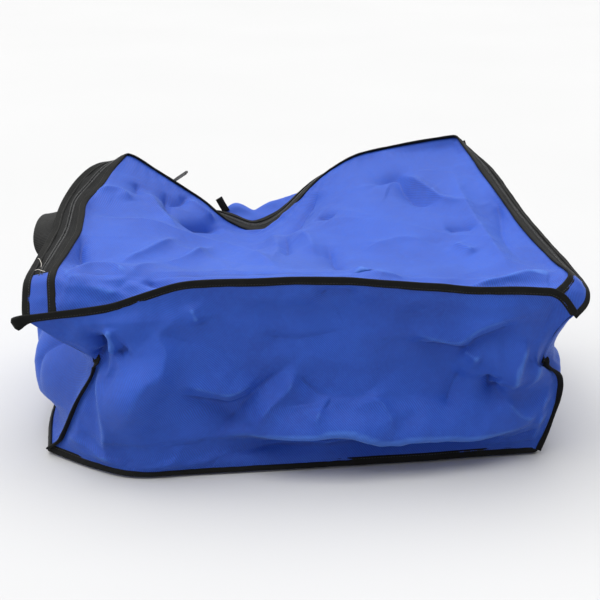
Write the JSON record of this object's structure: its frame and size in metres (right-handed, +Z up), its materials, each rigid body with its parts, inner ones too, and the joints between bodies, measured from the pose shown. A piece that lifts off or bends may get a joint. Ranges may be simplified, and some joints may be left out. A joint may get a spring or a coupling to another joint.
{
  "type": "fruit picking bag",
  "caption": "Slumped box-shaped cloth bag with bound seams, a zipped lid hinged along its front edge and a webbing handle on each end.",
  "frame": {"origin": "centre of the bounding box's bottom face, on the surface that the bag stands on", "axes": "+X to the right as seen from the front, along the bag's length; +Y from the front to the back; +Z up"},
  "size_m": [0.6478, 0.4146, 0.2974],
  "materials": {
    "cloth": "woven matt",
    "binding": "ribbed matt",
    "webbing": "ribbed matt",
    "zip_tape": "woven matt",
    "zip_coil": "satin",
    "slider_metal": "satin black",
    "pull_metal": "satin black"
  },
  "bodies": {
    "shell": {"bottom_panel": "cloth", "front_panel": "cloth", "back_panel": "cloth", "left_end_panel": "cloth", "right_end_panel": "cloth", "lid_front_margin": "cloth", "front_seam_binding": "binding", "front_left_binding": "binding", "front_right_binding": "binding", "back_left_binding": "binding", "back_right_binding": "binding", "bottom_front_binding": "binding", "bottom_back_binding": "binding", "bottom_left_binding": "binding", "bottom_right_binding": "binding", "rim_left_binding": "binding", "rim_back_binding": "binding", "rim_right_binding": "binding", "left_tab": "cloth", "right_tab": "cloth", "left_tab_binding": "binding", "right_tab_binding": "binding", "zip_tape_outer": "zip_tape", "zip_coil_outer": "zip_coil", "left_handle_ends": "webbing", "right_handle_ends": "webbing"},
    "lid": {"lid_panel": "cloth", "lid_left_binding": "binding", "lid_back_binding": "binding", "lid_right_binding": "binding", "zip_tape_inner": "zip_tape", "zip_coil_inner": "zip_coil"},
    "slider": {"slider_body": "slider_metal", "slider_bridge": "slider_metal"},
    "pull_tab": {"pull_tab": "pull_metal"},
    "left_handle": {"left_handle_loop": "webbing"},
    "right_handle": {"right_handle_loop": "webbing"}
  },
  "joints": [
    {"name": "lid_opening", "type": "hinge", "parent": "shell", "child": "lid", "pos_m": [0, -0.1452, 0.222], "axis": [1, 0, 0], "range_deg": [0, 150]},
    {"name": "slider_run", "type": "slide", "parent": "shell", "child": "slider", "axis": [0.8269, -0.3308, -0.4548], "range_m": [-0.032, 0.031]},
    {"name": "pull_tab_swing", "type": "hinge", "parent": "slider", "child": "pull_tab", "pos_m": [-0.17285, 0.17371, 0.23623], "axis": [0.0472, -0.7651, 0.6422], "range_deg": [-68, 104]},
    {"name": "left_handle_swing", "type": "hinge", "parent": "shell", "child": "left_handle", "pos_m": [-0.29389, 0.03866, 0.16931], "axis": [0.0913, 0.9879, 0.1256], "range_deg": [-115, 0]},
    {"name": "right_handle_swing", "type": "hinge", "parent": "shell", "child": "right_handle", "pos_m": [0.27455, 0.04364, 0.16487], "axis": [-0.1271, 0.9705, 0.2047], "range_deg": [-126, 0]}
  ]
}
